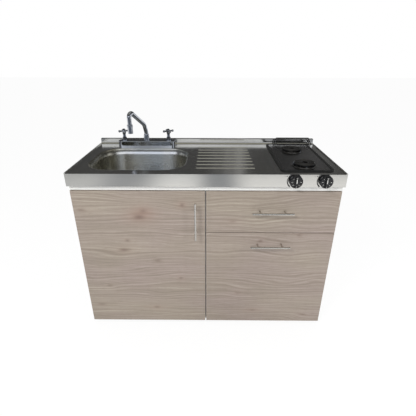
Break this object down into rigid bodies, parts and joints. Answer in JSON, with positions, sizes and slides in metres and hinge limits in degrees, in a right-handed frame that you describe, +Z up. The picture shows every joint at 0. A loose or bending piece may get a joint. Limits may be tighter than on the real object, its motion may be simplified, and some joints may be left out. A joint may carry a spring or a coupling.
{
  "type": "kitchenette unit with sink and hob",
  "caption": "Free-standing kitchenette: pressed steel top with bowl, ribbed drainer, swivel tap and electric spiral hob, on a wood-effect cabinet with a hinged door and drawers.",
  "frame": {"origin": "middle of the footprint's bounding box, on the floor", "axes": "+X to the right along the front, +Y from the front to the wall, +Z up"},
  "size_m": [1.2, 0.578, 1.0532],
  "materials": {
    "worktop_steel": "satin pressed stainless steel, grain along the top",
    "hob_steel": "darker stainless steel, bronzed by heat",
    "raw_board": "raw chipboard",
    "chrome": "polished chrome plate",
    "dark_chrome": "chrome darkened by heat",
    "black_wire": "gloss black coated wire",
    "zinc": "zinc plated",
    "seal": "matt black rubber",
    "enamel": "black enamel",
    "element": "oxidised black metal sheath",
    "ceramic": "off-white glazed ceramic",
    "black_plastic": "matt black",
    "knob_plastic": "black with white marks",
    "white_board": "white melamine-faced board",
    "clear_plastic": "translucent",
    "oak_laminate": "grey-beige oak grain laminate, matt",
    "satin_steel": "satin"
  },
  "bodies": {
    "cabinet": {"worktop": "worktop_steel", "worktop_board": "raw_board", "sink_bowl": "worktop_steel", "strainer_body": "chrome", "strainer_nut": "zinc", "tailpiece": "chrome", "faucet_base": "chrome", "spout_collar": "chrome", "valve_bonnets": "chrome", "inlet_shanks": "zinc", "shank_nuts": "zinc", "hob_plate": "hob_steel", "hob_gasket": "seal", "burner_box": "zinc", "drip_bowls": "enamel", "trim_rings": "dark_chrome", "coil_front": "element", "coil_rear": "element", "coil_supports": "chrome", "terminal_blocks": "ceramic", "switches": "black_plastic", "guard_rail": "black_wire", "cable_gland": "black_plastic", "side_panel_left": "white_board", "side_panel_right": "white_board", "bottom_panel": "white_board", "back_panel": "white_board", "centre_partition": "white_board", "front_rail": "white_board", "rear_rails": "white_board", "levelling_feet": "black_plastic", "front_bumpers": "clear_plastic", "hinge_arms": "zinc", "top_runner_rails": "zinc", "lower_runner_rails": "zinc"},
    "door": {"left_door": "oak_laminate", "left_door_handle": "satin_steel", "left_handle_screws": "zinc", "hinge_cups": "zinc"},
    "top_drawer": {"top_drawer_front": "oak_laminate", "top_drawer_box": "white_board", "top_drawer_bottom": "white_board", "top_drawer_handle": "satin_steel", "top_handle_screws": "zinc", "top_runner_slides": "zinc"},
    "top_balls": {"top_ball_strips": "zinc"},
    "lower_drawer": {"lower_drawer_front": "oak_laminate", "lower_drawer_box": "white_board", "lower_drawer_bottom": "white_board", "lower_drawer_handle": "satin_steel", "lower_handle_screws": "zinc", "lower_runner_slides": "zinc"},
    "lower_balls": {"lower_ball_strips": "zinc"},
    "swivel_spout": {"spout": "chrome", "aerator": "chrome"},
    "hot_tap": {"hot_handle": "chrome"},
    "cold_tap": {"cold_handle": "chrome"},
    "front_knob": {"front_burner_knob": "knob_plastic"},
    "rear_knob": {"rear_burner_knob": "knob_plastic"},
    "basket": {"strainer_basket": "chrome"}
  },
  "joints": [
    {"name": "door_hinge", "type": "hinge", "parent": "cabinet", "child": "door", "pos_m": [-0.589, -0.238, 0.3955], "axis": [0, 0, -1], "range_deg": [0, 95]},
    {"name": "top_drawer_slide", "type": "slide", "parent": "cabinet", "child": "top_drawer", "axis": [0, -1, 0], "range_m": [0, 0.35]},
    {"name": "top_balls_roll", "type": "slide", "parent": "cabinet", "child": "top_balls", "axis": [0, -1, 0], "range_m": [0, 0.175]},
    {"name": "lower_drawer_slide", "type": "slide", "parent": "cabinet", "child": "lower_drawer", "axis": [0, -1, 0], "range_m": [0, 0.35]},
    {"name": "lower_balls_roll", "type": "slide", "parent": "cabinet", "child": "lower_balls", "axis": [0, -1, 0], "range_m": [0, 0.175]},
    {"name": "spout_swivel", "type": "hinge", "parent": "cabinet", "child": "swivel_spout", "pos_m": [-0.328, 0.206, 0.882], "axis": [0, 0, 1], "range_deg": [-53, 97]},
    {"name": "hot_valve", "type": "hinge", "parent": "cabinet", "child": "hot_tap", "pos_m": [-0.448, 0.206, 0.9], "axis": [0, 0, 1], "range_deg": [0, 90]},
    {"name": "cold_valve", "type": "hinge", "parent": "cabinet", "child": "cold_tap", "pos_m": [-0.208, 0.206, 0.9], "axis": [0, 0, -1], "range_deg": [0, 90]},
    {"name": "front_burner_switch", "type": "hinge", "parent": "cabinet", "child": "front_knob", "pos_m": [0.382, -0.261, 0.823], "axis": [0, 1, 0], "range_deg": [0, 270]},
    {"name": "rear_burner_switch", "type": "hinge", "parent": "cabinet", "child": "rear_knob", "pos_m": [0.509, -0.261, 0.823], "axis": [0, 1, 0], "range_deg": [0, 270]},
    {"name": "basket_lift", "type": "slide", "parent": "cabinet", "child": "basket", "axis": [0, 0, 1], "range_m": [0, 0.06]}
  ],
  "couplings": [
    {"joint": "top_balls_roll", "follows": "top_drawer_slide", "ratio": 0.5},
    {"joint": "lower_balls_roll", "follows": "lower_drawer_slide", "ratio": 0.5}
  ]
}
